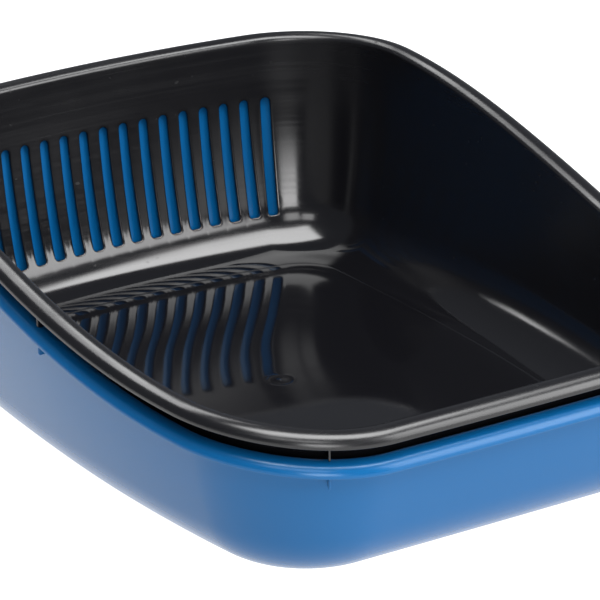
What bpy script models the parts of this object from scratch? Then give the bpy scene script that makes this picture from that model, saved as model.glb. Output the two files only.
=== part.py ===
"""Two-piece sifting litter tray, in metres, +Z up.

A glossy inner tray with a slotted high back nests in an outer tray of the same shape
and stands on its rim, on short moulded ribs. +Y points at the high back, -Y at the low
entry, and the origin is the bottom centre of the outer tray.
"""

from math import atan, cos, exp, hypot, pi, radians, sin, sqrt

import bmesh
import bpy

# ---- driving dimensions ----
RIM_WIDTH = 0.400            # across the lips, at the middle of the sides
BASE_DEPTH = 0.370           # flat bottom, entry to back
SIDE_RADIUS_BACK = 2.1       # bow of the sides, back half
SIDE_RADIUS_FRONT = 1.06     # bow of the sides, front half
BACK_RADIUS = 0.80           # bow of the back
ENTRY_RADIUS = 12.0          # bow of the entry side, nearly straight
BASE_CORNER_BACK = 0.024     # corner radii of the flat bottom
BASE_CORNER_FRONT = 0.032

WALL = 0.0020
FOOT_RADIUS = 0.046          # outside radius between bottom and wall
WALL_SLOPE = 0.267           # outward run per rise, just above the foot
UPRIGHT_HEIGHT = 0.150       # height at which the curved wall stands upright

ENTRY_HEIGHT = 0.0877        # rim height at the entry
CORNER_RISE = 0.0103         # climb of the rim round the front corners
CORNER_RISE_DEPTH = 0.035
BACK_RISE = 0.0505           # further climb of the rim along the sides
RISE_START = 0.070           # depth from the entry where that climb starts and ends
RISE_END = 0.420
MID_WALL = 0.050             # offset of the outline whose depth sets the rim's height

LIP_REACH = 0.011            # lip past the wall's outside
LIP_CREST = 0.0022           # highest line of the rounded lip, past the wall's outside
SKIRT = 0.0087               # lip's depth at the entry, and how much less it is along the sides
SKIRT_TAPER = 0.0015

NEST_LIFT = 0.0178           # inner tray's height in the outer tray
NEST_GAP = 0.0020            # inner tray's wall inside the outer tray's wall line

SLOT_COUNT = 17
SLOT_PITCH = 0.015
SLOT_BOTTOM = 0.0437
SLOT_TOP = 0.1234
SLOT_WIDTH_BOTTOM = 0.0078
SLOT_WIDTH_TOP = 0.0064
SLOT_CUT = (0.010, 0.090)    # outward from the flat bottom's edge, through the wall

RIB_THICKNESS = 0.0012
RIB_REACH = 0.007            # rib's free edge past the wall's outside
RIB_CLEARANCE = 0.0004       # under the inner tray's ribs
OUTER_RIB_DROP = 0.0170      # outer tray's ribs, below its crown
RIB_CORNER = 0.0015
SIDE_RIB_ANGLE = radians(1.45)
CORNER_RIB_ANGLE = radians(66)

# ---- mesh density ----
SIDE_STEPS = 7
CORNER_STEPS = 10
END_STEPS = 3
FOOT_STEPS = 4
WALL_STEPS = 3
LIP_STEPS = 3
ROUND_STEPS = 4
MERGE = 0.00005

FOOT_END = atan(WALL_SLOPE)
FOOT_TOP = FOOT_RADIUS * (1 - sin(FOOT_END))


def clear_scene():
    for old in list(bpy.data.objects):
        bpy.data.objects.remove(old)


def new_collection(name):
    made = bpy.data.collections.new(name)
    bpy.context.scene.collection.children.link(made)
    return made


def plastic(name, colour, roughness):
    material = bpy.data.materials.new(name)
    material.use_nodes = True
    shader = material.node_tree.nodes["Principled BSDF"]
    shader.inputs["Base Color"].default_value = (*colour, 1.0)
    shader.inputs["Roughness"].default_value = roughness
    shader.inputs["Metallic"].default_value = 0.0
    return material


# ---- shape of the wall and rim ----
def wall_offset(height):
    """Outside of the wall, outward from the flat bottom's edge."""
    rise = height - FOOT_TOP
    full_rise = UPRIGHT_HEIGHT - FOOT_TOP
    return FOOT_RADIUS * cos(FOOT_END) + WALL_SLOPE * (rise - rise * rise / (2 * full_rise))


def smooth_step(value):
    held = min(max(value, 0.0), 1.0)
    return held * held * (3 - 2 * held)


def depth_from_entry(point, normal):
    """How far back a point of the flat bottom's edge is, taken at the middle of the wall."""
    return point[1] + MID_WALL * normal[1] + BASE_DEPTH / 2 + MID_WALL


def rim_height(point, normal):
    """Crown of the outer tray's lip above a point of the flat bottom's edge."""
    depth = depth_from_entry(point, normal)
    corner = CORNER_RISE * (1 - exp(-depth / CORNER_RISE_DEPTH))
    side = BACK_RISE * smooth_step((depth - RISE_START) / (RISE_END - RISE_START))
    return ENTRY_HEIGHT + corner + side


def skirt_depth(point, normal):
    return SKIRT - SKIRT_TAPER * smooth_step(depth_from_entry(point, normal) / RISE_START)


ENTRY_REACH = wall_offset(ENTRY_HEIGHT)
BACK_REACH = wall_offset(ENTRY_HEIGHT + CORNER_RISE + BACK_RISE)
BASE_Y = (ENTRY_REACH - BACK_REACH) / 2      # puts the lips' overall depth about the origin


# ---- outline of the flat bottom ----
def corner_centre(side_centre, side_radius, end_centre, end_radius):
    """Centre of a corner arc that touches the side arc and the end arc from inside."""
    across = (end_centre[0] - side_centre[0], end_centre[1] - side_centre[1])
    span = hypot(*across)
    along = (side_radius ** 2 - end_radius ** 2 + span ** 2) / (2 * span)
    out = sqrt(side_radius ** 2 - along ** 2)
    unit = (across[0] / span, across[1] / span)
    crossings = [
        (side_centre[0] + along * unit[0] - side * out * unit[1],
         side_centre[1] + along * unit[1] + side * out * unit[0])
        for side in (1, -1)
    ]
    return max(crossings, key=sum)


def quarter_arcs(side_radius, end_radius, corner_radius):
    """Arcs from the middle of the side to the middle of the end, as
    (centre, radius, first angle, last angle, steps)."""
    middle_height = rim_height((0.0, 0.0), (1.0, 0.0))
    half_width = RIM_WIDTH / 2 - LIP_REACH - wall_offset(middle_height)
    side_centre = (half_width - side_radius, 0.0)
    end_centre = (0.0, BASE_DEPTH / 2 - end_radius)
    corner = corner_centre(
        side_centre, side_radius - corner_radius, end_centre, end_radius - corner_radius
    )
    side_end = atan((corner[1] - side_centre[1]) / (corner[0] - side_centre[0]))
    end_start = pi / 2 - atan((corner[0] - end_centre[0]) / (corner[1] - end_centre[1]))
    return [
        (side_centre, side_radius, 0.0, side_end, SIDE_STEPS),
        (corner, corner_radius, side_end, end_start, CORNER_STEPS),
        (end_centre, end_radius, end_start, pi / 2, END_STEPS),
    ]


BACK_ARCS = quarter_arcs(SIDE_RADIUS_BACK, BACK_RADIUS, BASE_CORNER_BACK)
FRONT_ARCS = quarter_arcs(SIDE_RADIUS_FRONT, ENTRY_RADIUS, BASE_CORNER_FRONT)


def edge_point(arcs, angle, back):
    """(point, outward normal) of the flat bottom's edge where its normal is at an angle
    from the sideways direction, towards the back (1) or the entry (-1)."""
    centre, radius = next((c, r) for c, r, _, last, _ in arcs if angle <= last + 1e-9)
    normal = (cos(angle), back * sin(angle))
    point = (centre[0] + radius * cos(angle), back * (centre[1] + radius * sin(angle)))
    return point, normal


def quarter_angles(arcs):
    angles = [0.0]
    for _, _, first, last, steps in arcs:
        angles += [first + (last - first) * k / steps for k in range(1, steps + 1)]
    return angles


def half_outline():
    """Edge points of the +X half, from the middle of the entry to the middle of the back."""
    front = [edge_point(FRONT_ARCS, angle, -1) for angle in quarter_angles(FRONT_ARCS)]
    back = [edge_point(BACK_ARCS, angle, 1) for angle in quarter_angles(BACK_ARCS)]
    return front[::-1] + back[1:]


# ---- trays ----
def lip_arc(depth, reach, start, steps):
    """Quarter of an ellipse about the lip's crest, as (offset from the wall's outside,
    height from the crest). It starts at an angle from the outward direction and ends
    90 degrees less; depth and reach are the ellipse's half axes."""
    angles = [start - pi / 2 * k / steps for k in range(steps + 1)]
    return [(LIP_CREST + reach * cos(a), depth * (sin(a) - 1)) for a in angles]


def tray_section(crown, skirt, inset, lift):
    """Upper face of a tray from its floor's edge to the lip's lower edge, as
    (outward offset, height) pairs. crown is the outer tray's rim height there."""
    inner_radius = FOOT_RADIUS - WALL
    foot_angles = [pi / 2 + (FOOT_END - pi / 2) * k / FOOT_STEPS for k in range(FOOT_STEPS + 1)]
    face = [(inner_radius * cos(a), FOOT_RADIUS - inner_radius * sin(a)) for a in foot_angles]
    start = face[-1][1]
    edge_radius = LIP_CREST + WALL
    for k in range(1, WALL_STEPS + 1):
        height = start + (crown - edge_radius - start) * k / WALL_STEPS
        face.append((wall_offset(height) - WALL, height))
    face = [(offset - inset, height) for offset, height in face]
    lip = lip_arc(edge_radius, edge_radius, pi, LIP_STEPS)[1:]
    lip += lip_arc(skirt, LIP_REACH - LIP_CREST, pi / 2, LIP_STEPS + 1)[1:]
    wall = wall_offset(crown)
    face += [(wall + offset, crown + height) for offset, height in lip]
    return [(offset, height + lift) for offset, height in face]


def tray_half_mesh(name, inset, lift):
    """Open upper face of the +X half of a tray: a loft of sections that differ all the
    way round, because the rim climbs from the entry to the back."""
    mesh = bpy.data.meshes.new(name)
    loft = bmesh.new()
    rings = []
    for point, normal in half_outline():
        crown = rim_height(point, normal)
        section = tray_section(crown, skirt_depth(point, normal), inset, lift)
        ring = [
            loft.verts.new((point[0] + d * normal[0], point[1] + d * normal[1] + BASE_Y, z))
            for d, z in section
        ]
        rings.append(ring)
    for ring in (rings[0], rings[-1]):
        for vertex in ring:
            vertex.co.x = 0.0
    loft.faces.new([ring[0] for ring in rings])
    for near, far in zip(rings, rings[1:]):
        for k in range(len(near) - 1):
            loft.faces.new((near[k], near[k + 1], far[k + 1], far[k]))
    loft.to_mesh(mesh)
    loft.free()
    return mesh


def tray(name, inset, lift, material, collection):
    made = bpy.data.objects.new(name, tray_half_mesh(name, inset, lift))
    collection.objects.link(made)
    made.data.materials.append(material)
    mirror = made.modifiers.new("other_half", "MIRROR")
    mirror.use_axis = (True, False, False)
    mirror.merge_threshold = MERGE
    shell = made.modifiers.new("wall", "SOLIDIFY")
    shell.thickness = WALL
    shell.offset = -1.0
    shell.use_even_offset = True
    made.data.shade_smooth()
    made.data.set_sharp_from_angle(angle=radians(35))
    return made


def combine(target, operation, tools):
    boolean = target.modifiers.new(tools.name, "BOOLEAN")
    boolean.operation = operation
    boolean.operand_type = "COLLECTION"
    boolean.collection = tools
    boolean.solver = "EXACT"


# ---- ribs and slots ----
def flat_solid(name, outline, thickness):
    """Closed mesh of a flat outline in the XY plane, thick along Z about that plane."""
    curve = bpy.data.curves.new(name, "CURVE")
    curve.dimensions = "2D"
    curve.fill_mode = "BOTH"
    curve.extrude = thickness / 2
    spline = curve.splines.new("POLY")
    spline.points.add(len(outline) - 1)
    for place, (x, y) in zip(spline.points, outline):
        place.co = (x, y, 0.0, 1.0)
    spline.use_cyclic_u = True
    drawn = bpy.data.objects.new(name, curve)
    bpy.context.scene.collection.objects.link(drawn)
    evaluated = drawn.evaluated_get(bpy.context.evaluated_depsgraph_get())
    mesh = bpy.data.meshes.new_from_object(evaluated)
    bpy.data.objects.remove(drawn)
    welded = bmesh.new()
    welded.from_mesh(mesh)
    bmesh.ops.remove_doubles(welded, verts=welded.verts, dist=MERGE)
    bmesh.ops.recalc_face_normals(welded, faces=welded.faces)
    welded.to_mesh(mesh)
    welded.free()
    return mesh


def arc(x, y, radius, first, last):
    angles = [first + (last - first) * k / ROUND_STEPS for k in range(ROUND_STEPS + 1)]
    return [(x + radius * cos(a), y + radius * sin(a)) for a in angles]


def place_tool(name, mesh, location, turn, collection):
    """Stands a flat solid upright: its outline's Y becomes Z, its X points at turn."""
    tool = bpy.data.objects.new(name, mesh)
    tool.location = location
    tool.rotation_euler = (pi / 2, 0.0, turn)
    tool.hide_render = True
    tool.display_type = "WIRE"
    collection.objects.link(tool)


def add_ribs(tools, name, inset, lift, drop):
    """Short upright plates between the wall and the lip, hanging drop below the crown."""
    root = -inset - WALL / 2
    buried = WALL / 2
    edge_radius = LIP_CREST + buried
    under_lip = lip_arc(edge_radius, edge_radius, pi, LIP_STEPS)[1:]
    under_lip += lip_arc(SKIRT - buried, RIB_REACH - LIP_CREST, pi / 2, LIP_STEPS)[1:-1]
    outline = [(offset, height - buried) for offset, height in under_lip[::-1]]
    outline += [(root, -edge_radius - buried), (root, -drop)]
    outline += arc(RIB_REACH - RIB_CORNER, RIB_CORNER - drop, RIB_CORNER, -pi / 2, 0.0)
    mesh = flat_solid(name, outline, RIB_THICKNESS)
    spots = [
        edge_point(FRONT_ARCS, SIDE_RIB_ANGLE, -1),
        edge_point(FRONT_ARCS, CORNER_RIB_ANGLE, -1),
        edge_point(BACK_ARCS, CORNER_RIB_ANGLE, 1),
    ]
    for number, (point, normal) in enumerate(spots):
        crown = rim_height(point, normal)
        reach = wall_offset(crown)
        x = point[0] + reach * normal[0]
        y = point[1] + reach * normal[1] + BASE_Y
        angle = atan(normal[1] / normal[0])
        place_tool(f"{name}_{number}_right", mesh, (x, y, crown + lift), angle, tools)
        place_tool(f"{name}_{number}_left", mesh, (-x, y, crown + lift), pi - angle, tools)


def add_slots(tools):
    """Tapered slots, wider at the foot, round at the top, each cut square to the bowed wall."""
    low = SLOT_WIDTH_BOTTOM / 2
    high = SLOT_WIDTH_TOP / 2
    height = SLOT_TOP - SLOT_BOTTOM
    round_foot = 0.0012
    outline = arc(0.0, height - high, high, 0.0, pi)
    outline += [(-low, round_foot), (-low + round_foot, 0.0)]
    outline += [(low - round_foot, 0.0), (low, round_foot)]
    mesh = flat_solid("slot", outline, SLOT_CUT[1] - SLOT_CUT[0])
    reach = BACK_RADIUS + sum(SLOT_CUT) / 2
    centre_y = BASE_DEPTH / 2 - BACK_RADIUS + BASE_Y
    for number in range(SLOT_COUNT):
        angle = (number - (SLOT_COUNT - 1) / 2) * SLOT_PITCH / (BACK_RADIUS + MID_WALL)
        spot = (reach * sin(angle), centre_y + reach * cos(angle), SLOT_BOTTOM)
        place_tool(f"slot_{number}", mesh, spot, -angle, tools)


def build():
    clear_scene()
    parts = new_collection("sifting_litter_tray")
    outer_ribs = new_collection("outer_ribs")
    inner_ribs = new_collection("inner_ribs")
    slots = new_collection("slots")
    blue = plastic("blue_plastic", (0.02, 0.13, 0.40), 0.30)
    black = plastic("black_plastic", (0.012, 0.012, 0.013), 0.15)

    outer = tray("outer_tray", 0.0, 0.0, blue, parts)
    add_ribs(outer_ribs, "outer_rib", 0.0, 0.0, OUTER_RIB_DROP)
    combine(outer, "UNION", outer_ribs)

    sifter = tray("sifting_tray", NEST_GAP, NEST_LIFT, black, parts)
    add_slots(slots)
    combine(sifter, "DIFFERENCE", slots)
    add_ribs(inner_ribs, "inner_rib", NEST_GAP, NEST_LIFT, NEST_LIFT - RIB_CLEARANCE)
    combine(sifter, "UNION", inner_ribs)


build()
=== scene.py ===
"""Looks of the two-piece sifting litter tray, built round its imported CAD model.

Row frame, in metres: +Y towards the slotted high back, -Y towards the low entry, +Z up,
origin at the bottom centre. Each tray is one closed moulding, lofted round the tray.
"""

from math import acos, asin, atan, atan2, ceil, cos, exp, hypot, pi, radians, sin, sqrt

import bpy
from mathutils import Matrix, Vector


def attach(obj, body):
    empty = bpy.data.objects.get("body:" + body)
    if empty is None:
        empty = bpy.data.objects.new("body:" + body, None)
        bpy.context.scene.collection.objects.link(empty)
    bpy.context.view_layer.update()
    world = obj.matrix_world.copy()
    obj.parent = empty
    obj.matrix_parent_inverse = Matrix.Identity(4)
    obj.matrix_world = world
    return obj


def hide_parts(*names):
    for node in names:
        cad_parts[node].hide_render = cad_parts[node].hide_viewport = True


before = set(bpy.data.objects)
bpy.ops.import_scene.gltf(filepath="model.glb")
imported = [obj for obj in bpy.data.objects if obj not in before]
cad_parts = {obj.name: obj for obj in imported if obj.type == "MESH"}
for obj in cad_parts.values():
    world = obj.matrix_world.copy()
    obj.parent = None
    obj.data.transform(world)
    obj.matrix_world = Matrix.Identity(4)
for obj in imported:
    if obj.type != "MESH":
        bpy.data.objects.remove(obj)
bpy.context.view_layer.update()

# ---- camera ----
CAMERA_PLACE = (-1.20666, -1.96944, 1.00877)
CAMERA_AZIMUTH = radians(-31.616)
CAMERA_ELEVATION = radians(21.929)
CAMERA_ROLL = radians(-0.925)
CAMERA_LENS = 240.43
SENSOR_WIDTH = 36.0
CLIP_START = 0.1

# ---- tray dimensions, as in the CAD model ----
RIM_WIDTH = 0.400
BASE_DEPTH = 0.370
SIDE_RADIUS_BACK = 2.1
SIDE_RADIUS_FRONT = 1.06
BACK_RADIUS = 0.80
ENTRY_RADIUS = 12.0
BASE_CORNER_BACK = 0.024
BASE_CORNER_FRONT = 0.032
WALL = 0.0020
FOOT_RADIUS = 0.046
WALL_SLOPE = 0.267
UPRIGHT_HEIGHT = 0.150
ENTRY_HEIGHT = 0.0877
CORNER_RISE = 0.0103
CORNER_RISE_DEPTH = 0.035
BACK_RISE = 0.0505
RISE_START = 0.070
RISE_END = 0.420
MID_WALL = 0.050
LIP_REACH = 0.011
SKIRT = 0.0087
SKIRT_TAPER = 0.0015
LIP_CREST = 0.0022
NEST_LIFT = 0.0178
NEST_GAP = 0.0020
SLOT_COUNT = 17
SLOT_PITCH = 0.015
SLOT_BOTTOM = 0.0437
SLOT_TOP = 0.1234
SLOT_WIDTH_BOTTOM = 0.0078
SLOT_WIDTH_TOP = 0.0064
RIB_THICKNESS = 0.0012
RIB_REACH = 0.007
RIB_CLEARANCE = 0.0004
RIB_CORNER = 0.0015
OUTER_RIB_DROP = 0.0170
SIDE_RIB_ANGLE = radians(1.45)
CORNER_RIB_ANGLE = radians(66)

# ---- mesh density ----
CELL_STEPS = 6               # stations across one slot cell
CORNER_STEP = 0.0028         # station spacing round corners and along the straighter sides
SIDE_STEP = 0.0065
FOOT_STEPS = 22
WALL_STEPS = 24
LIP_STEPS = 10
FLOOR_STEPS = 34             # rows from the floor's edge to its gate mark, and underneath
UNDER_STEPS = 8

FOOT_END = atan(WALL_SLOPE)
FOOT_TOP = FOOT_RADIUS * (1 - sin(FOOT_END))
WALL_TOP_DROP = 0.0058       # the wall's last row, below the crown
SKIRT_EDGE = 0.0006          # rounding of the skirt's lower edge
ROUNDING = (pi / 6, pi / 3, pi / 2)    # steps of a small rounding
SLACK = 1e-9


# ---- shape of the wall and rim, as in the CAD model ----
def smooth_step(value):
    held = min(max(value, 0.0), 1.0)
    return held * held * (3 - 2 * held)


def depth_from_entry(point, normal):
    return point[1] + MID_WALL * normal[1] + BASE_DEPTH / 2 + MID_WALL


def rim_height(point, normal):
    depth = depth_from_entry(point, normal)
    corner = CORNER_RISE * (1 - exp(-depth / CORNER_RISE_DEPTH))
    side = BACK_RISE * smooth_step((depth - RISE_START) / (RISE_END - RISE_START))
    return ENTRY_HEIGHT + corner + side


def skirt_depth(point, normal):
    return SKIRT - SKIRT_TAPER * smooth_step(depth_from_entry(point, normal) / RISE_START)


def wall_offset(height):
    rise = height - FOOT_TOP
    full_rise = UPRIGHT_HEIGHT - FOOT_TOP
    return FOOT_RADIUS * cos(FOOT_END) + WALL_SLOPE * (rise - rise * rise / (2 * full_rise))


def outside(height):
    """Outside of foot and wall at a height: offset from the flat bottom's edge, and the
    direction that the surface faces, outward and up."""
    if height < FOOT_TOP:
        face = asin((FOOT_RADIUS - height) / FOOT_RADIUS)
        return FOOT_RADIUS * cos(face), cos(face), -sin(face)
    slope = WALL_SLOPE * (1 - (height - FOOT_TOP) / (UPRIGHT_HEIGHT - FOOT_TOP))
    face = atan(slope)
    return wall_offset(height), cos(face), -sin(face)


def through_wall(height, depth):
    """(offset, height) at a depth into the wall from its inner face."""
    offset, out, up = outside(height)
    return offset - (WALL - depth) * out, height - (WALL - depth) * up


ENTRY_REACH = wall_offset(ENTRY_HEIGHT)
BACK_REACH = wall_offset(ENTRY_HEIGHT + CORNER_RISE + BACK_RISE)
BASE_Y = (ENTRY_REACH - BACK_REACH) / 2


# ---- outline of the flat bottom ----
def corner_centre(side_centre, side_radius, end_centre, end_radius):
    across = (end_centre[0] - side_centre[0], end_centre[1] - side_centre[1])
    span = hypot(*across)
    along = (side_radius ** 2 - end_radius ** 2 + span ** 2) / (2 * span)
    out = sqrt(side_radius ** 2 - along ** 2)
    unit = (across[0] / span, across[1] / span)
    crossings = [
        (side_centre[0] + along * unit[0] - side * out * unit[1],
         side_centre[1] + along * unit[1] + side * out * unit[0])
        for side in (1, -1)
    ]
    return max(crossings, key=sum)


def quarter_arcs(side_radius, end_radius, corner_radius):
    """Arcs from the middle of the side to the middle of the end, as
    (centre, radius, first angle, last angle, station spacing)."""
    middle_height = rim_height((0.0, 0.0), (1.0, 0.0))
    half_width = RIM_WIDTH / 2 - LIP_REACH - wall_offset(middle_height)
    side_centre = (half_width - side_radius, 0.0)
    end_centre = (0.0, BASE_DEPTH / 2 - end_radius)
    corner = corner_centre(
        side_centre, side_radius - corner_radius, end_centre, end_radius - corner_radius
    )
    side_end = atan((corner[1] - side_centre[1]) / (corner[0] - side_centre[0]))
    end_start = pi / 2 - atan((corner[0] - end_centre[0]) / (corner[1] - end_centre[1]))
    return [
        (side_centre, side_radius, 0.0, side_end, SIDE_STEP),
        (corner, corner_radius, side_end, end_start, CORNER_STEP),
        (end_centre, end_radius, end_start, pi / 2, SIDE_STEP),
    ]


BACK_ARCS = quarter_arcs(SIDE_RADIUS_BACK, BACK_RADIUS, BASE_CORNER_BACK)
FRONT_ARCS = quarter_arcs(SIDE_RADIUS_FRONT, ENTRY_RADIUS, BASE_CORNER_FRONT)


def edge_point(arcs, angle, back):
    centre, radius = next((c, r) for c, r, _, last, _ in arcs if angle <= last + SLACK)
    normal = (cos(angle), back * sin(angle))
    point = (centre[0] + radius * cos(angle), back * (centre[1] + radius * sin(angle)))
    return point, normal


def half_loop():
    """Stretches of the +X half from the middle of the back to the middle of the entry, as
    (arcs, back, start angle, end angle, length at the middle of the wall, spacing)."""
    back = [(BACK_ARCS, 1, last, first, radius, step)
            for _, radius, first, last, step in BACK_ARCS[::-1]]
    front = [(FRONT_ARCS, -1, first, last, radius, step)
             for _, radius, first, last, step in FRONT_ARCS]
    return [
        (arcs, side, start, end, (radius + MID_WALL) * abs(end - start), step)
        for arcs, side, start, end, radius, step in back + front
    ]


HALF_LOOP = half_loop()
HALF_LENGTH = sum(stretch[4] for stretch in HALF_LOOP)


def station(along):
    """(point, normal) of the flat bottom's edge, by the distance along the middle of the
    wall from the middle of the back: positive round +X, negative round -X."""
    left = min(abs(along), HALF_LENGTH)
    for arcs, back, start, end, length, _ in HALF_LOOP:
        angle = start + (end - start) * min(left / length, 1.0)
        left -= length
        if left <= 0.0:
            break
    point, normal = edge_point(arcs, angle, back)
    if along < 0:
        return (-point[0], point[1]), (-normal[0], normal[1])
    return point, normal


def station_places():
    """Distances of all stations, once round from the middle of the back."""
    cell_step = SLOT_PITCH / CELL_STEPS
    slotted = SLOT_COUNT * CELL_STEPS // 2
    places = [cell_step * k for k in range(slotted + 1)]
    reached = 0.0
    for *_, length, spacing in HALF_LOOP:
        start = max(reached, places[-1])
        reached += length
        steps = ceil((reached - start) / spacing) if reached > start else 0
        places += [start + (reached - start) * k / steps for k in range(1, steps + 1)]
    return places + [-place for place in places[-2:0:-1]]


PLACES = station_places()
STATIONS = [station(place) for place in PLACES]


# ---- section of a tray ----
BEAD_OFFSET = 0.0075         # fine raised line round the floor, out from the flat bottom's edge
BEAD_WIDTH = 0.00036
BEAD_HEIGHT = 0.0003
BEAD_SPAN = radians(1.7)     # stretch of the foot that has extra rows for it
BEAD_STEPS = 8


def spread(first, last, steps):
    return [first + (last - first) * k / steps for k in range(steps + 1)]


def wall_heights(crown):
    """Heights of the rows up the foot and the wall, on their outside."""
    middle = acos(BEAD_OFFSET / FOOT_RADIUS)
    bead = spread(middle - BEAD_SPAN, middle + BEAD_SPAN, BEAD_STEPS)
    angles = sorted(spread(pi / 2, FOOT_END, FOOT_STEPS) + bead, reverse=True)
    foot = [FOOT_RADIUS * (1 - sin(a)) for a in angles]
    wall = spread(FOOT_TOP, crown - WALL_TOP_DROP, WALL_STEPS)
    return foot + wall[1:]


def lip_arc(depth, reach, start, drop):
    """Quarter of an ellipse about the lip's crest, as (offset from the wall's outside,
    height from the crest), from an angle from the outward direction to 90 degrees less.
    depth and reach are its half axes, and drop is how far it lies below the crest."""
    return [
        (LIP_CREST + reach * cos(a), depth * (sin(a) - 1) - drop)
        for a in spread(start, start - pi / 2, LIP_STEPS)
    ]


def lip_top(crown, skirt, inset):
    """Upper side of the lip: rounded inner edge, crest, outer rounding and skirt edge."""
    wall = wall_offset(crown)
    edge_radius = LIP_CREST + WALL
    inner_face = through_wall(crown - edge_radius, 0.0)[0] - inset
    rows = lip_arc(edge_radius, LIP_CREST + wall - inner_face, pi, 0.0)
    rows += lip_arc(skirt - SKIRT_EDGE, LIP_REACH - LIP_CREST, pi / 2, 0.0)[1:]
    rows += [(LIP_REACH - SKIRT_EDGE * (1 - cos(a)), -skirt + SKIRT_EDGE * (1 - sin(a)))
             for a in ROUNDING]
    return [(wall + offset, crown + height) for offset, height in rows]


def lip_under(crown, skirt, inset):
    """Underside of the lip: skirt's inner face, up and back to the wall's outside."""
    wall = wall_offset(crown)
    inner_reach = LIP_REACH - LIP_CREST - WALL
    rows = [(LIP_CREST + inner_reach + SKIRT_EDGE, -skirt)]
    rows += lip_arc(skirt - WALL - SKIRT_EDGE, inner_reach, pi / 2, WALL)[::-1]
    outer_face = through_wall(crown - WALL - LIP_CREST, WALL)[0] - inset
    rows += lip_arc(LIP_CREST, LIP_CREST + wall - outer_face, pi, WALL)[::-1][1:]
    return [(wall + offset, crown + height) for offset, height in rows]


def section(crown, skirt, inset):
    """Rows from the floor's edge inside, over the lip and down to the flat bottom's edge,
    and the number of rows on the inner face of foot and wall."""
    heights = wall_heights(crown)
    inner = [through_wall(height, 0.0) for height in heights]
    outer = [through_wall(height, WALL) for height in reversed(heights)]
    rows = [
        (offset - inset, height + BEAD_HEIGHT * exp(-((offset - BEAD_OFFSET) / BEAD_WIDTH) ** 2))
        for offset, height in inner
    ]
    rows += lip_top(crown, skirt, inset) + lip_under(crown, skirt, inset)
    rows += [(offset - inset, height) for offset, height in outer]
    return rows, len(heights)


# ---- floor and underside ----
GATE_RADIUS = 0.0092         # moulding gate mark in the middle of the floor
GATE_Y = 0.015
GATE_CLEAR = 0.012
FLOOR_EDGE = -0.0017         # last station row inside the flat floor's edge
CENTRE_FADE = 0.18           # share of a centre's rows over which its wave fades at each end
SLOW_WAVE = 0.00010
QUICK_WAVE = 0.00003
GATE_PROFILE = (             # radius and height of the gate mark's raised ring and nub
    (1.08, 0.0), (1.0, 0.00004), (0.95, 0.00010), (0.90, 0.00011), (0.84, 0.00006),
    (0.76, 0.0), (0.45, -0.00002), (0.24, 0.0), (0.18, 0.00004), (0.13, 0.00014),
    (0.08, 0.00020), (0.03, 0.00022),
)
FOOT_RING = (                # flat foot ring, and the step up to the raised underside
    (-0.0015, 0.0), (-0.009, 0.0), (-0.0098, 0.0001), (-0.0106, 0.0005), (-0.0116, 0.0006),
)


def floor_wave(x, y):
    """Faint unevenness of a flat moulded floor."""
    slow = sin(41 * x + 13 * y + 0.6) * sin(57 * y - 19 * x + 1.1)
    quick = sin(93 * y + 31 * x) * cos(71 * x - 22 * y + 0.4)
    return SLOW_WAVE * slow + QUICK_WAVE * quick


class Moulding:
    """Vertices and faces of one closed tray, kept as rows of stations."""

    def __init__(self, inset, lift):
        self.inset = inset
        self.lift = lift
        self.points = []
        self.faces = []
        self.rows = []
        self.satin = {}

    def add_row(self, spots):
        start = len(self.points)
        self.points += spots
        self.rows.append(list(range(start, start + len(spots))))

    def place(self, at, offset, height):
        point, normal = at
        x = point[0] + offset * normal[0]
        y = point[1] + offset * normal[1] + BASE_Y
        return (x, y, height + self.lift)

    def join(self, near, far, skip=()):
        """Faces between two closed loops of points, without those at (near[0], k) in skip."""
        for k, start in enumerate(near):
            after = (k + 1) % len(near)
            if (near[0], k) not in skip:
                self.faces.append((start, near[after], far[after], far[k]))

    def fill_centre(self, edge, height, steps, wave, outward):
        """Rows from an edge row to the middle: the outline turns into a circle round the
        gate mark. wave is the share of the floor's unevenness, and outward is 1 on a
        floor, -1 on an underside."""
        ring = []
        for x, y, _ in edge:
            angle = atan2(y - GATE_Y, x)
            ring.append((GATE_CLEAR * cos(angle), GATE_Y + GATE_CLEAR * sin(angle)))
        rows = []
        for k in range(1, steps + 1):
            share = 1 - k / steps
            fade = smooth_step(min(k, steps - k) / (CENTRE_FADE * steps))
            spots = []
            for (x, y, _), (ring_x, ring_y) in zip(edge, ring):
                at_x = ring_x + (x - ring_x) * share
                at_y = ring_y + (y - ring_y) * share
                lift = wave * fade * floor_wave(at_x, at_y)
                spots.append((at_x, at_y, height + lift + self.lift))
            rows.append(spots)
        for radius, rise in GATE_PROFILE:
            scale = radius * GATE_RADIUS / GATE_CLEAR
            rows.append([
                (x * scale, GATE_Y + (y - GATE_Y) * scale, height + outward * rise + self.lift)
                for x, y in ring
            ])
        return rows


# ---- moulding ----
WALL_SATIN = 0.8             # share of the lip's satin that the top of the inner wall has
OUTSIDE_SATIN = 0.8          # and the outside
SATIN_START = 0.030          # heights between which the inner wall turns satin
SATIN_FULL = 0.135


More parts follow.
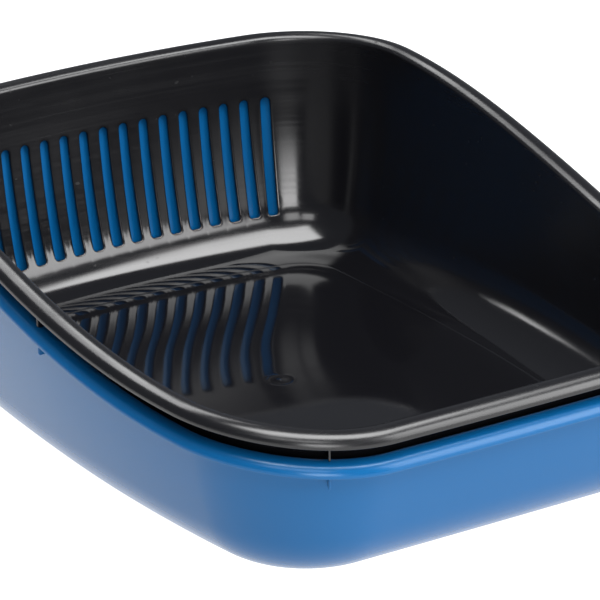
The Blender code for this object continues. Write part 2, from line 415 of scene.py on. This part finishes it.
def build_moulding(name, inset, lift, rib_drop, slotted):
    """Rows from the middle of the floor, over the lip, to the middle of the underside."""
    made = Moulding(inset, lift)
    sections = []
    for point, normal in STATIONS:
        rows, wall_rows = section(rim_height(point, normal), skirt_depth(point, normal), inset)
        sections.append(rows)
    edge = [made.place(at, FLOOR_EDGE - inset, WALL) for at in STATIONS]
    for spots in made.fill_centre(edge, WALL, FLOOR_STEPS, wave=1.0, outward=1)[::-1] + [edge]:
        made.add_row(spots)
    first_wall = len(made.rows)
    for k in range(len(sections[0])):
        made.add_row([made.place(at, *rows[k]) for at, rows in zip(STATIONS, sections)])
    last_wall = len(made.rows) - 1
    for offset, rise in FOOT_RING:
        made.add_row([made.place(at, offset - inset, rise) for at in STATIONS])
    edge = [made.points[k] for k in made.rows[-1]]
    top = FOOT_RING[-1][1]
    for spots in made.fill_centre(edge, top, UNDER_STEPS, wave=0.0, outward=-1):
        made.add_row(spots)
    skip = cut_slots(made, first_wall, last_wall) if slotted else ()
    mark_satin(made, first_wall, last_wall, wall_rows)
    add_ribs(made, rib_drop)
    for near, far in zip(made.rows, made.rows[1:]):
        made.join(near, far, skip)
    made.faces.append(tuple(made.rows[0]))
    made.faces.append(tuple(reversed(made.rows[-1])))
    return mesh_object(name, made)


def mark_satin(made, first_wall, last_wall, wall_rows):
    """Share of satin finish, 0 to 1: growing up the inner wall, full on the lip."""
    for k in range(first_wall, last_wall + 1):
        for spot in made.rows[k]:
            height = made.points[spot][2] - made.lift
            if k < first_wall + wall_rows:
                made.satin[spot] = wall_satin(height)
            elif k > last_wall - wall_rows:
                made.satin[spot] = OUTSIDE_SATIN
            else:
                made.satin[spot] = 1.0


def wall_satin(height):
    return WALL_SATIN * smooth_step((height - SATIN_START) / (SATIN_FULL - SATIN_START))


# ---- slots ----
SLOT_ROUND = 0.0009          # rounding of a slot's edge on the inner face
SLOT_ROUND_OUT = 0.0005      # and on the outside
SLOT_FOOT_ROUND = 0.0016     # rounding of the corners at a slot's foot
SLOT_BLENDS = (0.55, 0.22)   # rings between a slot and its cell, as shares of the way out
CELL_BOTTOM = 0.0215         # lowest and highest rows of a slot's cell, in the tray's heights
CELL_TOP = 0.1095


def slot_outline(sides):
    """(across, height) points round a slot from its lower left, anticlockwise, with as
    many points as its cell's edge has."""
    low = SLOT_WIDTH_BOTTOM / 2
    high = SLOT_WIDTH_TOP / 2
    bottom = SLOT_BOTTOM - NEST_LIFT
    top = SLOT_TOP - NEST_LIFT - high
    foot = SLOT_FOOT_ROUND
    bend = foot * (1 - cos(pi / 4))
    left_foot = [(-low, bottom + foot), (-low + bend, bottom + bend), (-low + foot, bottom)]
    right_foot = [(-x, z) for x, z in left_foot[::-1]]
    right = [
        (low + (high - low) * k / sides, bottom + foot + (top - bottom - foot) * k / sides)
        for k in range(1, sides)
    ]
    arch = [(high * cos(a), top + high * sin(a)) for a in spread(0.0, pi, CELL_STEPS)]
    left = [(-x, z) for x, z in right[::-1]]
    return left_foot + [(0.0, bottom)] + right_foot + right + arch + left


def outward_normals(loop):
    normals = []
    for k, _ in enumerate(loop):
        before, after = loop[k - 1], loop[(k + 1) % len(loop)]
        run = (after[0] - before[0], after[1] - before[1])
        length = hypot(*run)
        normals.append((run[1] / length, -run[0] / length))
    return normals


def slot_layers():
    """(offset from the slot's edge, depth from the inner face) through the wall."""
    layers = [(SLOT_ROUND, 0.0)]
    layers += [(SLOT_ROUND * (1 - sin(a)), SLOT_ROUND * (1 - cos(a))) for a in ROUNDING]
    layers += [
        (SLOT_ROUND_OUT * (1 - cos(a)), WALL - SLOT_ROUND_OUT * (1 - sin(a)))
        for a in (0.0, *ROUNDING)
    ]
    return layers


def cell_ring(middle, low_row, high_row):
    """(column, row) of the wall's points round a slot's cell, from its lower left,
    anticlockwise."""
    half = CELL_STEPS // 2
    columns = [middle + k for k in range(-half, half + 1)]
    ring = [(c, low_row) for c in columns]
    ring += [(columns[-1], r) for r in range(low_row + 1, high_row)]
    ring += [(c, high_row) for c in reversed(columns)]
    ring += [(columns[0], r) for r in range(high_row - 1, low_row, -1)]
    return ring


def cut_slots(made, first_wall, last_wall):
    """Replaces the wall's faces in each slot's cell by rings that shrink onto the slot's
    outline, pass through the wall with rounded edges, and grow again outside. Returns
    the replaced faces, as (first point of their row, column)."""
    heights = wall_heights(rim_height(*STATIONS[0]))
    low_row = max(k for k, height in enumerate(heights) if height <= CELL_BOTTOM)
    high_row = min(k for k, height in enumerate(heights) if height >= CELL_TOP)
    hole = slot_outline(high_row - low_row)
    normals = outward_normals(hole)
    skip = set()
    for number in range(SLOT_COUNT):
        middle = (number - SLOT_COUNT // 2) * CELL_STEPS
        spots = cell_ring(middle, low_row, high_row)
        for c in range(middle - CELL_STEPS // 2, middle + CELL_STEPS // 2):
            for r in range(low_row, high_row):
                skip.add((made.rows[first_wall + r][0], c % len(STATIONS)))
                skip.add((made.rows[last_wall - r - 1][0], c % len(STATIONS)))
        cell = [(c * SLOT_PITCH / CELL_STEPS, heights[r]) for c, r in spots]
        centre = middle * SLOT_PITCH / CELL_STEPS
        layers = [(share, SLOT_ROUND, 0.0) for share in SLOT_BLENDS]
        layers += [(0.0, offset, depth) for offset, depth in slot_layers()]
        layers += [(share, SLOT_ROUND_OUT, WALL) for share in SLOT_BLENDS[::-1]]
        loops = [[made.rows[first_wall + r][c] for c, r in spots]]
        loops += [slot_ring(made, cell, hole, normals, centre, *layer) for layer in layers]
        loops.append([made.rows[last_wall - r][c] for c, r in spots])
        for near, far in zip(loops, loops[1:]):
            made.join(near, far)
    return skip


def slot_ring(made, cell, hole, normals, centre, share, offset, depth):
    """One ring of a slot: its outline pushed out by offset and drawn towards its cell."""
    ring = []
    for (cell_x, cell_z), (x, z), (out_x, out_z) in zip(cell, hole, normals):
        edge_x = centre + x + offset * out_x
        edge_z = z + offset * out_z
        along = edge_x + (cell_x - edge_x) * share
        height = edge_z + (cell_z - edge_z) * share
        wall_at, up = through_wall(height, depth)
        made.satin[len(made.points)] = wall_satin(up)
        ring.append(len(made.points))
        made.points.append(made.place(station(along), wall_at - made.inset, up))
    return ring


# ---- ribs ----
RIB_EDGE = 0.00035           # rounding of a rib's edges
RIB_EASE = 0.3               # share of it at which the rounding has its middle row
RIB_CORNER_STEPS = 4


def rib_outline(inset, drop):
    """(offset from the wall's outside, height from the crest) round a rib, anticlockwise
    seen from its side: its root and top are sunk in the wall and in the lip."""
    root = -inset - WALL / 2
    sunk = WALL / 2
    edge_radius = LIP_CREST + sunk
    top = lip_arc(edge_radius, edge_radius, pi, sunk)[1:]
    top += lip_arc(SKIRT - sunk, RIB_REACH - LIP_CREST, pi / 2, sunk)[1:-1]
    corner = [
        (RIB_REACH - RIB_CORNER * (1 - cos(a)), RIB_CORNER * (1 + sin(a)) - drop)
        for a in spread(-pi / 2, 0.0, RIB_CORNER_STEPS)
    ]
    return [(root, -drop)] + corner + top[::-1] + [(root, -edge_radius - sunk)]


def rib_layers():
    """(distance across the rib, shrinking of its outline) from one side to the other."""
    half = RIB_THICKNESS / 2
    layers = [
        (-half, RIB_EDGE),
        (-half + RIB_EASE * RIB_EDGE, RIB_EASE * RIB_EDGE),
        (RIB_EDGE - half, 0.0),
    ]
    return layers + [(-across, shrink) for across, shrink in layers[::-1]]


def rib_rings(made, outline, point, normal, side):
    """Rings of one rib's points, for its layers from one side to the other."""
    crown = rim_height(point, normal)
    normals = outward_normals(outline)
    rings = []
    for across, shrink in rib_layers():
        ring = []
        for (offset, height), (out, up) in zip(outline, normals):
            reach = wall_offset(crown) + offset - shrink * out
            x = point[0] + reach * normal[0] - across * normal[1]
            y = point[1] + reach * normal[1] + across * normal[0] + BASE_Y
            ring.append(len(made.points))
            made.points.append((side * x, y, crown + height - shrink * up + made.lift))
        rings.append(ring[::-side])
    return rings


def add_ribs(made, drop):
    """Short upright plates between the wall and the lip, with rounded edges."""
    outline = rib_outline(made.inset, drop)
    spots = [
        edge_point(FRONT_ARCS, SIDE_RIB_ANGLE, -1),
        edge_point(FRONT_ARCS, CORNER_RIB_ANGLE, -1),
        edge_point(BACK_ARCS, CORNER_RIB_ANGLE, 1),
    ]
    for point, normal in spots:
        for side in (1, -1):
            rings = rib_rings(made, outline, point, normal, side)
            made.faces.append(tuple(rings[0]))
            made.faces.append(tuple(rings[-1][::-1]))
            for near, far in zip(rings, rings[1:]):
                made.join(far, near)


# ---- meshes ----
def mesh_object(name, moulding):
    mesh = bpy.data.meshes.new(name)
    mesh.from_pydata(moulding.points, [], moulding.faces)
    satin = mesh.attributes.new("satin", "FLOAT", "POINT")
    for spot, share in moulding.satin.items():
        satin.data[spot].value = share
    mesh.shade_smooth()
    made = bpy.data.objects.new(name, mesh)
    bpy.context.scene.collection.objects.link(made)
    return made


outer = build_moulding(
    "outer_tray_moulding", inset=0.0, lift=0.0, rib_drop=OUTER_RIB_DROP, slotted=False
)
sifter = build_moulding(
    "sifting_tray_moulding", inset=NEST_GAP, lift=NEST_LIFT,
    rib_drop=NEST_LIFT - RIB_CLEARANCE, slotted=True,
)
for piece, body in ((outer, "outer_tray"), (sifter, "sifting_tray")):
    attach(piece, body)
    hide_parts(body)


# ---- materials ----
BLACK = (0.0033, 0.0033, 0.0042)
BLUE = (0.002, 0.073, 0.208)
BLUE_GLOSS_TINT = (0.75, 0.9, 1.0, 1.0)
BLUE_GLOSS = 0.34
FLOOR_ROUGHNESS = 0.055      # polished floor of the sifting tray
FOOT_ROUGHNESS = 0.125       # its foot and lower wall
RIM_ROUGHNESS = 0.24         # its handled upper wall and lip
BLUE_ROUGHNESS = 0.23
FLOOR_TOP = NEST_LIFT + WALL
POLISH_HEIGHTS = (FLOOR_TOP + 0.001, FLOOR_TOP + 0.02)    # from polished floor to foot
FLOOR_WEAR = 0.12            # share of the wall's wear that the floor has
CLOUD = 0.05                 # uneven sheen, in roughness
CLOUD_CELLS = (14.0, 14.0, 22.0)
CLOUD_RANGE = (0.3, 0.7)
CLOUD_DETAIL = 3.0
STREAK = 0.05                # faint flow streaks round the walls
STREAK_CELLS = (5.0, 5.0, 420.0)
STREAK_RANGE = (0.35, 0.75)
STREAK_DETAIL = 2.0
SPECK = 0.12                 # specks and small scuffs
SPECK_CELLS = (210.0, 210.0, 260.0)
SPECK_RANGE = (0.82, 0.86)
GRAIN_DEPTH = 0.000004       # fine grain of the moulded surface
GRAIN_CELLS = (600.0, 600.0, 600.0)
GRAIN_DETAIL = 2.0
WARP = 0.052                 # sideways lean of the polished floor's normal
WARP_BIAS = 0.4
WARP_LENGTH = 0.26           # from one turn of the lean to the next, along the floor
WARP_MIDDLE = 0.07
WARP_HEIGHTS = (FLOOR_TOP + 0.0006, FLOOR_TOP + 0.004)    # over which the lean fades out


def plain_material(name, colour, roughness):
    made = bpy.data.materials.new(name)
    made.use_nodes = True
    shader = made.node_tree.nodes["Principled BSDF"]
    shader.inputs["Base Color"].default_value = (*colour, 1.0)
    shader.inputs["Roughness"].default_value = roughness
    return made


def place_node(tree):
    return tree.nodes.new("ShaderNodeTexCoord").outputs["Object"]


def noise(tree, stretch, detail):
    """Noise whose cells per metre along X, Y and Z are given by stretch."""
    scaled = tree.nodes.new("ShaderNodeMapping")
    scaled.inputs["Scale"].default_value = stretch
    tree.links.new(place_node(tree), scaled.inputs["Vector"])
    made = tree.nodes.new("ShaderNodeTexNoise")
    made.inputs["Scale"].default_value = 1.0
    made.inputs["Detail"].default_value = detail
    tree.links.new(scaled.outputs["Vector"], made.inputs["Vector"])
    return made.outputs["Fac"]


def ranged(tree, source, span, results):
    """The source's stretch between the two ends of span, mapped smoothly to results."""
    made = tree.nodes.new("ShaderNodeMapRange")
    made.interpolation_type = "SMOOTHSTEP"
    for name, value in zip(("From Min", "From Max", "To Min", "To Max"), (*span, *results)):
        made.inputs[name].default_value = value
    tree.links.new(source, made.inputs["Value"])
    return made.outputs["Result"]


def calculated(tree, operation, first, second=0.0):
    """One step of arithmetic; each operand is an output or a number."""
    made = tree.nodes.new("ShaderNodeMath")
    made.operation = operation
    for socket, operand in zip(made.inputs, (first, second)):
        if isinstance(operand, float):
            socket.default_value = operand
        else:
            tree.links.new(operand, socket)
    return made.outputs["Value"]


def summed(tree, sources):
    total = sources[0]
    for source in sources[1:]:
        total = calculated(tree, "ADD", total, source)
    return total


def place_split(tree):
    split = tree.nodes.new("ShaderNodeSeparateXYZ")
    tree.links.new(place_node(tree), split.inputs["Vector"])
    return split


def cloudy_sheen(tree):
    cells = noise(tree, CLOUD_CELLS, CLOUD_DETAIL)
    return ranged(tree, cells, CLOUD_RANGE, (-CLOUD / 2, CLOUD / 2))


def wear(tree):
    """Roughness added to a wall by cloudy sheen, flow streaks and small scuffs."""
    streaks = ranged(tree, noise(tree, STREAK_CELLS, STREAK_DETAIL), STREAK_RANGE, (0.0, STREAK))
    specks = ranged(tree, noise(tree, SPECK_CELLS, 0.0), SPECK_RANGE, (0.0, SPECK))
    return summed(tree, [cloudy_sheen(tree), streaks, specks])


def add_grain(tree, shader):
    """Fine grain of a moulded surface; returns its bump node."""
    bump = tree.nodes.new("ShaderNodeBump")
    bump.inputs["Strength"].default_value = 1.0
    bump.inputs["Distance"].default_value = GRAIN_DEPTH
    tree.links.new(noise(tree, GRAIN_CELLS, GRAIN_DETAIL), bump.inputs["Height"])
    tree.links.new(bump.outputs["Normal"], shader.inputs["Normal"])
    return bump


def sideways_lean(tree):
    """How far the floor's normal leans to +X: a slow wave along the tray's depth, on the
    flat floor only."""
    place = place_split(tree)
    from_middle = calculated(tree, "SUBTRACT", place.outputs["Y"], WARP_MIDDLE)
    turn = calculated(tree, "MULTIPLY", from_middle, 2 * pi / WARP_LENGTH)
    wave = calculated(tree, "SUBTRACT", calculated(tree, "COSINE", turn), WARP_BIAS)
    flat = ranged(tree, place.outputs["Z"], WARP_HEIGHTS, (WARP, 0.0))
    return calculated(tree, "MULTIPLY", wave, flat)


def add_warp(tree, grain):
    """Leans the polished floor's normal sideways, as a slow twist of the floor would, which
    bends what is mirrored in it."""
    sideways = tree.nodes.new("ShaderNodeCombineXYZ")
    tree.links.new(sideways_lean(tree), sideways.inputs["X"])
    surface = tree.nodes.new("ShaderNodeNewGeometry")
    tilted = tree.nodes.new("ShaderNodeVectorMath")
    tilted.operation = "ADD"
    tree.links.new(surface.outputs["Normal"], tilted.inputs[0])
    tree.links.new(sideways.outputs["Vector"], tilted.inputs[1])
    unit = tree.nodes.new("ShaderNodeVectorMath")
    unit.operation = "NORMALIZE"
    tree.links.new(tilted.outputs["Vector"], unit.inputs[0])
    tree.links.new(unit.outputs["Vector"], grain.inputs["Normal"])


def satin_share(tree):
    made = tree.nodes.new("ShaderNodeAttribute")
    made.attribute_name = "satin"
    return made.outputs["Fac"]


def black_plastic():
    """Gloss black plastic, polished on the floor and satin up the walls and on the lip."""
    made = plain_material("black_polypropylene", BLACK, RIM_ROUGHNESS)
    tree = made.node_tree
    shader = tree.nodes["Principled BSDF"]
    height = place_split(tree).outputs["Z"]
    low = ranged(tree, height, POLISH_HEIGHTS, (FLOOR_ROUGHNESS, FOOT_ROUGHNESS))
    satin_added = (0.0, RIM_ROUGHNESS - FOOT_ROUGHNESS)
    satin = ranged(tree, satin_share(tree), (0.0, 1.0), satin_added)
    worn = ranged(tree, height, POLISH_HEIGHTS, (FLOOR_WEAR, 1.0))
    total = summed(tree, [low, satin, calculated(tree, "MULTIPLY", wear(tree), worn)])
    tree.links.new(total, shader.inputs["Roughness"])
    add_warp(tree, add_grain(tree, shader))
    return made


def blue_plastic():
    """Semi-gloss blue plastic, a little uneven in its sheen."""
    made = plain_material("blue_polypropylene", BLUE, BLUE_ROUGHNESS)
    tree = made.node_tree
    shader = tree.nodes["Principled BSDF"]
    shader.inputs["Specular Tint"].default_value = BLUE_GLOSS_TINT
    shader.inputs["Specular IOR Level"].default_value = BLUE_GLOSS
    base = ranged(tree, satin_share(tree), (0.0, 1.0), (FOOT_ROUGHNESS, BLUE_ROUGHNESS))
    tree.links.new(summed(tree, [base, cloudy_sheen(tree)]), shader.inputs["Roughness"])
    add_grain(tree, shader)
    return made


# ---- stage, light and camera ----
SCENE = bpy.context.scene
WHITE = (1.0, 1.0, 1.0, 1.0)
FLOOR_SIZE = 40.0
FLOOR_DROP = 0.0002          # below the trays, so that they don't share a face with it
FLOOR_GREY = (0.25, 0.25, 0.25)
FLOOR_ROUGH = 0.9
FLOOR_GLOW = 1.1
STUDIO_TINT = (0.85, 0.9, 1.0, 1.0)
STUDIO_LIGHT = 0.20
BACKDROP_LIGHT = 1.0
TRAY_MIDDLE = Vector((0.0, 0.0, 0.1))
UPWARD = Vector((0.0, 0.0, 1.0))
PANEL_FADE = 0.10            # share of a softbox's side over which it fades out
HALF_SIDE = 0.5


def heading(azimuth, elevation):
    """Direction seen from the tray: azimuth clockwise from +Y, both in degrees."""
    turn, rise = radians(azimuth), radians(elevation)
    return Vector((sin(turn) * cos(rise), cos(turn) * cos(rise), sin(rise)))


def lay_floor():
    half = FLOOR_SIZE / 2
    corners = [(-half, -half, 0.0), (half, -half, 0.0), (half, half, 0.0), (-half, half, 0.0)]
    mesh = bpy.data.meshes.new("studio_floor")
    mesh.from_pydata(corners, [], [(0, 1, 2, 3)])
    floor = bpy.data.objects.new("studio_floor", mesh)
    floor.location.z = -FLOOR_DROP
    paper = plain_material("studio_floor", FLOOR_GREY, FLOOR_ROUGH)
    shader = paper.node_tree.nodes["Principled BSDF"]
    shader.inputs["Emission Color"].default_value = WHITE
    shader.inputs["Emission Strength"].default_value = FLOOR_GLOW
    mesh.materials.append(paper)
    SCENE.collection.objects.link(floor)


def light_panel(name, place, facing, turn, width, height, radiance):
    """Rectangular softbox, as bright as a surface of the given radiance, fading at its
    edges. turn rotates it about the direction in which it faces away from the tray."""
    data = bpy.data.lights.new(name, "AREA")
    data.shape = "RECTANGLE"
    data.size = width
    data.size_y = height
    data.energy = radiance * pi * width * height
    fade_edges(data)
    lamp = bpy.data.objects.new(name, data)
    lamp.location = place
    spin = Matrix.Rotation(turn, 3, "Z").to_quaternion()
    lamp.rotation_mode = "QUATERNION"
    lamp.rotation_quaternion = facing.to_track_quat("Z", "Y") @ spin
    lamp.visible_camera = False
    SCENE.collection.objects.link(lamp)


def fade_edges(data):
    """Softbox cloth: full brightness in the middle, falling off near each edge."""
    data.use_nodes = True
    nodes, links = data.node_tree.nodes, data.node_tree.links
    place = nodes.new("ShaderNodeNewGeometry")
    split = nodes.new("ShaderNodeSeparateXYZ")
    links.new(place.outputs["Parametric"], split.inputs["Vector"])
    fades = []
    for axis in ("X", "Y"):
        fold = nodes.new("ShaderNodeMath")
        fold.operation = "PINGPONG"
        fold.inputs[1].default_value = HALF_SIDE
        fade = nodes.new("ShaderNodeMapRange")
        fade.interpolation_type = "SMOOTHSTEP"
        fade.inputs["From Max"].default_value = PANEL_FADE
        links.new(split.outputs[axis], fold.inputs[0])
        links.new(fold.outputs["Value"], fade.inputs["Value"])
        fades.append(fade)
    both = nodes.new("ShaderNodeMath")
    both.operation = "MULTIPLY"
    links.new(fades[0].outputs["Result"], both.inputs[0])
    links.new(fades[1].outputs["Result"], both.inputs[1])
    links.new(both.outputs["Value"], nodes["Emission"].inputs["Strength"])


def softbox(name, azimuth, elevation, distance, width, height, radiance):
    """Panel that faces the tray from a direction round it."""
    outward = heading(azimuth, elevation)
    light_panel(name, TRAY_MIDDLE + distance * outward, outward, 0.0, width, height, radiance)


def light_world():
    """Dim studio round the tray, with a pale backdrop behind it."""
    world = bpy.data.worlds.new("studio")
    world.use_nodes = True
    nodes, links = world.node_tree.nodes, world.node_tree.links
    studio = nodes["Background"]
    studio.inputs["Color"].default_value = STUDIO_TINT
    studio.inputs["Strength"].default_value = STUDIO_LIGHT
    backdrop = nodes.new("ShaderNodeBackground")
    backdrop.inputs["Color"].default_value = WHITE
    backdrop.inputs["Strength"].default_value = BACKDROP_LIGHT
    path = nodes.new("ShaderNodeLightPath")
    mix = nodes.new("ShaderNodeMixShader")
    links.new(path.outputs["Is Camera Ray"], mix.inputs["Fac"])
    links.new(studio.outputs["Background"], mix.inputs[1])
    links.new(backdrop.outputs["Background"], mix.inputs[2])
    links.new(mix.outputs["Shader"], nodes["World Output"].inputs["Surface"])
    SCENE.world = world


def light_tray():
    """Softboxes whose mirror images are the photo's highlights, by direction round the tray."""
    light_panel(
        "overhead_softbox", place=Vector((0.17, -0.57, 2.0)), facing=UPWARD, turn=radians(-15),
        width=2.2, height=1.25, radiance=12.5,
    )
    softbox(
        "back_softbox", azimuth=0.0, elevation=52.0, distance=2.2,
        width=1.4, height=0.45, radiance=9.0,
    )
    softbox(
        "back_strip", azimuth=-28.0, elevation=25.0, distance=2.4,
        width=0.2, height=0.16, radiance=9.0,
    )
    softbox(
        "left_front_softbox", azimuth=-161.0, elevation=11.0, distance=2.6,
        width=0.95, height=0.9, radiance=10.0,
    )
    softbox(
        "left_high_softbox", azimuth=-160.0, elevation=39.0, distance=2.3,
        width=0.75, height=0.6, radiance=5.5,
    )
    softbox(
        "corner_high_softbox", azimuth=-136.0, elevation=40.0, distance=2.3,
        width=0.62, height=0.5, radiance=5.5,
    )
    softbox(
        "right_front_softbox", azimuth=138.0, elevation=20.0, distance=2.6,
        width=1.8, height=1.9, radiance=8.0,
    )


def aim_camera():
    turn, rise = CAMERA_AZIMUTH, CAMERA_ELEVATION
    right = Vector((cos(turn), sin(turn), 0.0))
    back = Vector((sin(turn) * cos(rise), -cos(turn) * cos(rise), sin(rise)))
    up = back.cross(right)
    rolled_right = cos(CAMERA_ROLL) * right + sin(CAMERA_ROLL) * up
    rolled_up = cos(CAMERA_ROLL) * up - sin(CAMERA_ROLL) * right
    data = bpy.data.cameras.new("camera")
    data.sensor_width = SENSOR_WIDTH
    data.lens = CAMERA_LENS
    data.clip_start = CLIP_START
    camera = bpy.data.objects.new("camera", data)
    axes = Matrix((rolled_right, rolled_up, back)).transposed().to_4x4()
    camera.matrix_world = Matrix.Translation(CAMERA_PLACE) @ axes
    SCENE.collection.objects.link(camera)
    SCENE.camera = camera


outer.data.materials.append(blue_plastic())
sifter.data.materials.append(black_plastic())
lay_floor()
light_world()
light_tray()
aim_camera()
SCENE.view_settings.view_transform = "Standard"
